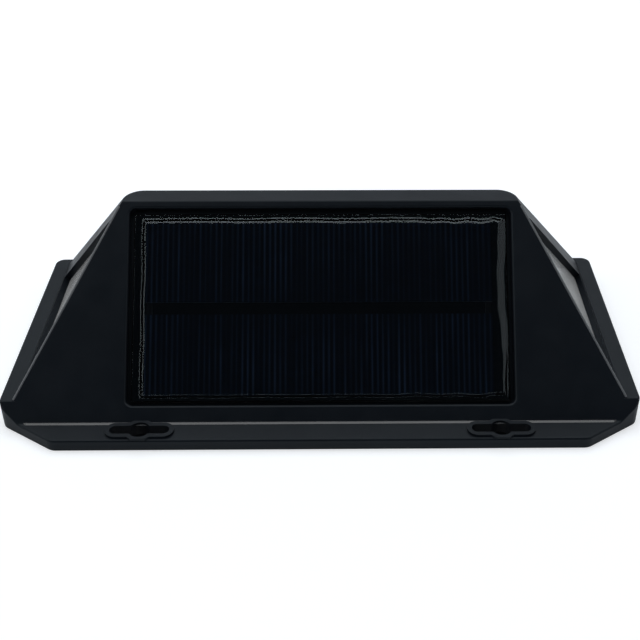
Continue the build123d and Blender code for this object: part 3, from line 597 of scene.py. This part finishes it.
# ---- Lamps ------------------------------------------------------------------
# Ten white light-emitting diodes on a long white board, held by three heat-formed
# stakes behind the sloping far wall of the bay, and wired with thin leads.
lamp_board = moulded(
    "lamp_board",
    dark=(0.72, 0.73, 0.73),
    light=(0.8, 0.81, 0.81),
    rough=(0.3, 0.4),
    grain=2500,
    depth=0.000008,
)
finish_node(lamp_board, "led_board")
package = moulded(
    "lamp_package",
    dark=(0.8, 0.8, 0.78),
    light=(0.86, 0.86, 0.84),
    rough=(0.3, 0.45),
    grain=3000,
    depth=0.000005,
)
finish_node(package, "led_packages")
phosphor = moulded(
    "phosphor",
    dark=(0.7, 0.5, 0.06),
    light=(0.82, 0.62, 0.12),
    rough=(0.3, 0.4),
    grain=6000,
    depth=0.00002,
)
finish_node(phosphor, "led_phosphors")

# ---- Leads ------------------------------------------------------------------
# Stranded copper in soft vinyl: a red and a black lead each for the panel, the
# lamps and the battery, soldered at one end and pushed into a socket at the other.
vinyl_red = moulded(
    "vinyl_red",
    dark=(0.42, 0.012, 0.01),
    light=(0.52, 0.018, 0.014),
    rough=(0.35, 0.5),
    grain=2500,
    depth=0.00001,
)
finish_node(vinyl_red, "panel_lead_red", "lamp_lead_red", "battery_lead_red")
vinyl_black = moulded(
    "vinyl_black",
    dark=(0.008, 0.008, 0.008),
    light=(0.014, 0.014, 0.014),
    rough=(0.35, 0.5),
    grain=2500,
    depth=0.00001,
)
finish_node(vinyl_black, "panel_lead_black", "lamp_lead_black", "battery_lead_black")

# ---- Main board -------------------------------------------------------------
# Green glass-fibre board on four posts of the back cover, with the charging chip,
# a wound inductor, a can capacitor, two sockets and the switch on its underside.


def traced_board(name, mask, track):
    """Solder mask over copper: lighter tracks where a brick pattern has its joints."""
    material, tree, out = new_material(name)
    place = tree.nodes.new("ShaderNodeTexCoord").outputs["Object"]
    brick = tree.nodes.new("ShaderNodeTexBrick")
    brick.inputs["Scale"].default_value = 160
    brick.inputs["Mortar Size"].default_value = 0.035
    brick.inputs["Color1"].default_value = (*mask, 1)
    brick.inputs["Color2"].default_value = (*[0.85 * part for part in mask], 1)
    brick.inputs["Mortar"].default_value = (*track, 1)
    tree.links.new(place, brick.inputs["Vector"])
    skin = tree.nodes.new("ShaderNodeBsdfPrincipled")
    gloss = spread(tree, surface_noise(tree, 400, 3, place), 0.25, 0.4)
    tree.links.new(brick.outputs["Color"], skin.inputs["Base Color"])
    tree.links.new(gloss, skin.inputs["Roughness"])
    ripple(tree, skin, brick.outputs["Fac"], 0.00003)
    tree.links.new(skin.outputs[0], out.inputs["Surface"])
    return material


def bare_metal(name, dark, light, rough, grain=3000, depth=0.000004):
    """Metal with a mottled tone, uneven gloss and a fine scratched grain."""
    return moulded(name, dark, light, rough, grain, depth, Metallic=1.0)


solder_mask = traced_board("solder_mask", mask=(0.01, 0.09, 0.035), track=(0.03, 0.2, 0.08))
finish_node(solder_mask, "main_board")
chip_resin = moulded(
    "chip_resin",
    dark=(0.012, 0.012, 0.013),
    light=(0.02, 0.02, 0.021),
    rough=(0.5, 0.65),
    grain=4000,
    depth=0.00001,
)
finish_node(chip_resin, "control_chip")
ferrite = moulded(
    "ferrite",
    dark=(0.05, 0.05, 0.055),
    light=(0.085, 0.085, 0.09),
    rough=(0.55, 0.7),
    grain=3500,
    depth=0.00002,
)
finish_node(ferrite, "inductor")
aluminium = bare_metal(
    "aluminium", dark=(0.62, 0.63, 0.65), light=(0.75, 0.76, 0.78), rough=(0.28, 0.4)
)
finish_node(aluminium, "capacitor")
nylon = moulded(
    "nylon",
    dark=(0.62, 0.58, 0.46),
    light=(0.7, 0.66, 0.54),
    rough=(0.4, 0.55),
    grain=1800,
    depth=0.00001,
)
finish_node(nylon, "panel_socket", "battery_socket")

# ---- Battery ----------------------------------------------------------------
# A round rechargeable cell in a plain shrink sleeve, in a moulded black holder
# with a nickel-plated contact at each end.
nickel = bare_metal(
    "nickel_plate", dark=(0.55, 0.54, 0.51), light=(0.7, 0.69, 0.65), rough=(0.2, 0.35)
)
finish_node(nickel, "battery_cell", "battery_contact_plus", "battery_contact_minus")
sleeve = moulded(
    "shrink_sleeve",
    dark=(0.02, 0.12, 0.16),
    light=(0.03, 0.16, 0.2),
    rough=(0.2, 0.3),
    grain=300,
    depth=0.00003,
    Coat_Weight=0.3,
)
finish_node(sleeve, "battery_wrap")
holder_black = moulded(
    "holder_black",
    dark=(0.012, 0.012, 0.013),
    light=(0.018, 0.018, 0.019),
    rough=(0.45, 0.55),
    grain=1800,
    depth=0.00002,
)
finish_node(holder_black, "battery_holder")

# ---- Back cover -------------------------------------------------------------
# A flat matt black plate let into the back of the housing on a soft grey gasket;
# it carries the board and the battery and has the button's hole.
matt_black = moulded(
    "matt_black",
    dark=(0.009, 0.0095, 0.01),
    light=(0.013, 0.0135, 0.0142),
    rough=(0.5, 0.62),
    grain=1500,
    depth=0.00005,
    Specular_IOR_Level=0.3,
)
finish_node(matt_black, "back_cover")
foam_rubber = moulded(
    "foam_rubber",
    dark=(0.04, 0.04, 0.043),
    light=(0.065, 0.065, 0.07),
    rough=(0.8, 0.92),
    grain=2200,
    depth=0.00008,
)
finish_node(foam_rubber, "cover_gasket")

# ---- Screws -----------------------------------------------------------------
# Zinc-plated self-tapping screws with a domed head and a crossed recess: five
# hold the back cover, and four smaller ones hold the main board.
zinc = bare_metal(
    "zinc_plate",
    dark=(0.5, 0.5, 0.52),
    light=(0.66, 0.66, 0.67),
    rough=(0.22, 0.36),
    grain=2500,
    depth=0.000006,
)


def recessed_screws(name, places, head_z, head_r, head_height, shank_r, shank_length, lift):
    """Screws turned from one profile, r against distance t from the head's face.

    The face is a dome, t = rise * (r / R)^2, less a crossed recess whose depth falls
    off with the smaller of |x| and |y| and towards the head's edge. The shank's radius
    is cut by a cosine of t / pitch less the turn, which winds the thread, and it
    narrows to a point over its last sixth. lift is 1 for a screw that points up and
    -1 for one that points down.
    """
    dome = 0.28 * head_height
    corner_share = 0.06
    recess_half, recess_reach, recess_depth = 0.14 * head_r, 0.62 * head_r, 0.45 * head_height
    pitch = 0.42 * shank_r * 2
    thread_depth, point_share = 0.22 * shank_r, 0.16
    angle = np.linspace(0, 2 * np.pi, 64, endpoint=False)
    face = np.linspace(0, 1 - corner_share, 26)
    corner = np.linspace(0, np.pi / 2, 5)[1:]
    corner_r = head_r * (1 - corner_share + corner_share * np.sin(corner))
    corner_t = dome + corner_share * head_r * (1 - np.cos(corner))
    turns = np.linspace(0.02, 1, 60)
    shank = np.where(turns < 1 - point_share, shank_r, shank_r * (1 - turns) / point_share)
    radius = np.concatenate([face * head_r, corner_r, [head_r, shank_r], shank])
    shank_t = head_height + shank_length * turns
    depth = np.concatenate([dome * face**2, corner_t, [head_height] * 2, shank_t])
    r = radius[:, None] * np.ones_like(angle)
    t = depth[:, None] * np.ones_like(angle)
    cut = 0.5 - 0.5 * np.cos(2 * np.pi * (t - head_height) / pitch - angle)
    on_shank = np.clip((t - head_height) / pitch, 0, 1) * np.clip(r / shank_r, 0, 1)
    r = np.where(t > head_height, r - thread_depth * cut * on_shank, r)
    x, y = r * np.cos(angle), r * np.sin(angle)
    arm = np.clip(1 - (np.minimum(abs(x), abs(y)) / recess_half) ** 4, 0, 1)
    reach = np.clip(1 - (r / recess_reach) ** 6, 0, 1)
    t = np.where(t < head_height, t + recess_depth * arm * reach, t)
    one = np.stack([x, y, lift * t], axis=-1)
    screws = []
    for i, (place_x, place_y) in enumerate(places):
        grid = (one + np.array([place_x, place_y, head_z])) * MM
        screw = close_poles(sheet_mesh(f"{name}_{i}", grid, close=True))
        screw.data.materials.append(zinc)
        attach(screw, "light")
        screws.append(screw)
    return screws


cover_screws = recessed_screws(
    "cover_screw",
    places=[(x, -30.5) for x in (-66, 66)] + [(x, 38.0) for x in (-66, 0, 66)],
    head_z=0.1,
    head_r=2.5,
    head_height=1.3,
    shank_r=1.3,
    shank_length=4.2,
    lift=1,
)
for screw in cover_screws:
    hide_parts("cover_screws")
board_screws = recessed_screws(
    "board_screw",
    places=[(x, y) for x in (9.2, 50.8) for y in (-15.8, 7.8)],
    head_z=10.1,
    head_r=1.8,
    head_height=1.1,
    shank_r=1.0,
    shank_length=5.0,
    lift=-1,
)
for screw in board_screws:
    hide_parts("board_screws")

# ---- Power button -----------------------------------------------------------
# A black rubber cap in the back cover, with a foam ring round it; it presses the
# plunger of a small push switch that hangs from the main board.
rubber = moulded(
    "button_rubber",
    dark=(0.016, 0.016, 0.017),
    light=(0.024, 0.024, 0.025),
    rough=(0.6, 0.75),
    grain=2400,
    depth=0.00004,
)
finish_node(rubber, "power_button")
finish_node(foam_rubber, "button_seal")
acetal = moulded(
    "acetal_grey",
    dark=(0.2, 0.2, 0.21),
    light=(0.26, 0.26, 0.27),
    rough=(0.35, 0.5),
    grain=2000,
    depth=0.00001,
)
finish_node(acetal, "switch_plunger")
finish_node(chip_resin, "push_switch")
